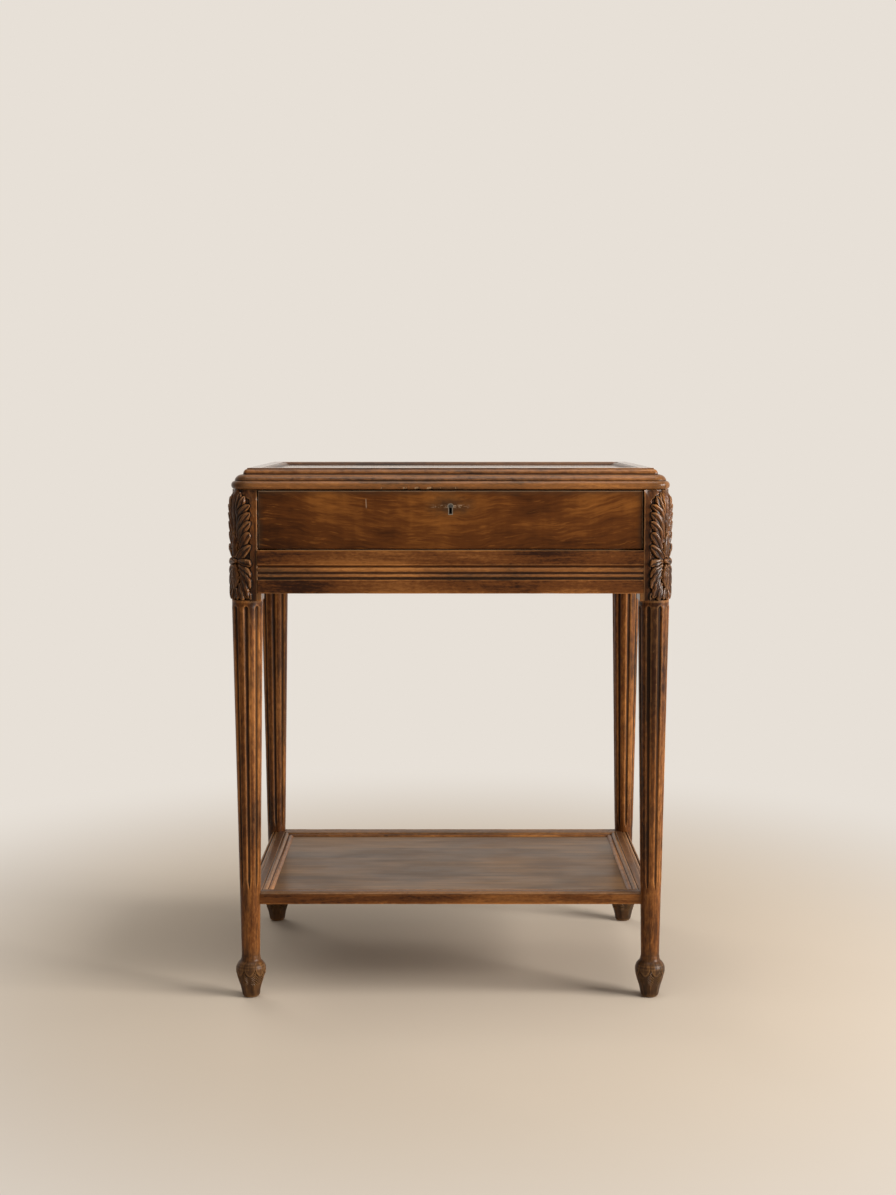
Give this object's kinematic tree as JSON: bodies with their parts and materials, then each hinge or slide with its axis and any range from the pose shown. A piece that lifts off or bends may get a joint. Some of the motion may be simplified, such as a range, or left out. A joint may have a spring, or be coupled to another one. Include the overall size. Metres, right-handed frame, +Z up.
{
  "type": "dressing table",
  "caption": "Small walnut dressing table: carved, fluted legs, lockable drawer, lift-up lid with a mirror beneath, moulded rails and a low framed shelf.",
  "frame": {"origin": "on the floor, under the middle of the table", "axes": "+X to the table's right as one faces it, +Y to its back, +Z up"},
  "size_m": [0.6198, 0.4628, 0.75],
  "materials": {
    "walnut": "aged semi-gloss polish",
    "walnut_veneer": "figured veneer, polished",
    "walnut_panel": "polished",
    "oak": "bare, aged",
    "brass": "aged",
    "steel": "worn",
    "mirror": "silvered glass"
  },
  "bodies": {
    "root": {"front_left_leg": "walnut", "front_right_leg": "walnut", "back_left_leg": "walnut", "back_right_leg": "walnut", "front_rail": "walnut", "left_apron": "walnut", "right_apron": "walnut", "back_apron": "walnut", "left_runner": "oak", "right_runner": "oak", "left_guide": "oak", "right_guide": "oak", "left_kicker": "oak", "right_kicker": "oak", "shelf_front_rail": "walnut", "shelf_back_rail": "walnut", "shelf_left_rail": "walnut", "shelf_right_rail": "walnut", "shelf_panel": "walnut_panel", "shelf_dowels": "oak", "case_hinge_leaves": "brass", "case_hinge_screws": "brass", "hinge_pins": "steel"},
    "lid": {"lid_front_rail": "walnut", "lid_back_rail": "walnut", "lid_left_rail": "walnut", "lid_right_rail": "walnut", "lid_panel": "walnut_panel", "mirror_glass": "mirror", "mirror_front_bead": "walnut", "mirror_back_bead": "walnut", "mirror_left_bead": "walnut", "mirror_right_bead": "walnut", "lid_keep_plate": "brass", "lid_hinge_leaves": "brass", "lid_hinge_screws": "brass"},
    "drawer": {"drawer_front": "walnut_veneer", "drawer_left_side": "oak", "drawer_right_side": "oak", "drawer_back": "oak", "drawer_bottom": "oak", "lock_case": "brass", "lock_screws": "brass", "keyhole_liner": "brass"},
    "bolt": {"lock_bolt": "steel"}
  },
  "joints": [
    {"name": "lid_hinge", "type": "hinge", "parent": "root", "child": "lid", "pos_m": [0, 0.22755, 0.72055], "axis": [-1, 0, 0], "range_deg": [0, 95]},
    {"name": "drawer_slide", "type": "slide", "parent": "root", "child": "drawer", "axis": [0, -1, 0], "range_m": [0, 0.25]},
    {"name": "bolt_slide", "type": "slide", "parent": "drawer", "child": "bolt", "axis": [0, 0, 1], "range_m": [0, 0.007]}
  ]
}
